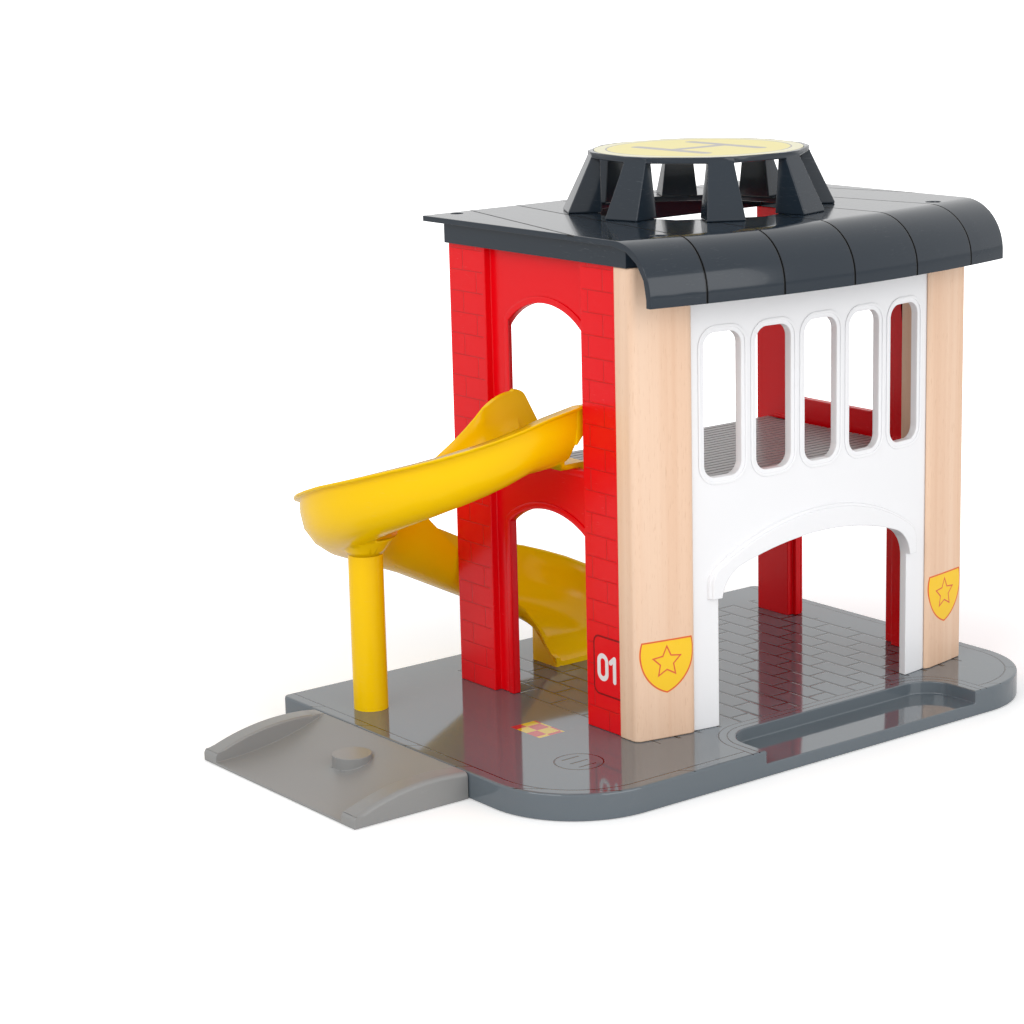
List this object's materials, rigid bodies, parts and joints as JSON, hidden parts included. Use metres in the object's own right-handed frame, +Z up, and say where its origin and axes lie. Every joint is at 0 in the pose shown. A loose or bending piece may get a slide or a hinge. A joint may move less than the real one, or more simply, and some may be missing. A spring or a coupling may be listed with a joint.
{
  "type": "toy fire station",
  "caption": "Two-storey toy fire station with a curved front, garage arch, helipad roof, hook-on helical slide and dock-in ramp.",
  "frame": {"origin": "centre of the base plate's underside", "axes": "+X to the right seen from the front, +Y from the front to the open back, +Z up"},
  "size_m": [0.3027, 0.19, 0.219],
  "materials": {
    "base_grey": "glossy moulded plastic, engraved paving",
    "ramp_grey": "light grey moulded plastic",
    "beech": "clear-lacquered beech",
    "white_plastic": "glossy white",
    "red_plastic": "glossy red",
    "floor_grey": "satin grey with ribs",
    "roof_grey": "glossy dark grey",
    "helipad_yellow": "pale yellow, printed",
    "slide_yellow": "glossy warm yellow",
    "screw_steel": "zinc-plated"
  },
  "bodies": {
    "root": {"base_plate": "base_grey", "left_post": "beech", "right_post": "beech", "facade": "white_plastic", "left_side_wall": "red_plastic", "right_side_wall": "red_plastic", "upper_floor": "floor_grey", "roof": "roof_grey", "helipad_frame": "roof_grey", "helipad_disc": "helipad_yellow", "roof_screws": "screw_steel", "base_screws": "screw_steel"},
    "ramp": {"ramp": "ramp_grey"},
    "slide": {"slide_chute": "slide_yellow", "slide_post": "slide_yellow"}
  },
  "joints": [
    {"name": "ramp_pull", "type": "slide", "parent": "root", "child": "ramp", "axis": [-1, 0, 0], "range_m": [0, 0.03]},
    {"name": "slide_lift", "type": "slide", "parent": "root", "child": "slide", "axis": [0, 0, 1], "range_m": [0, 0.02]}
  ]
}
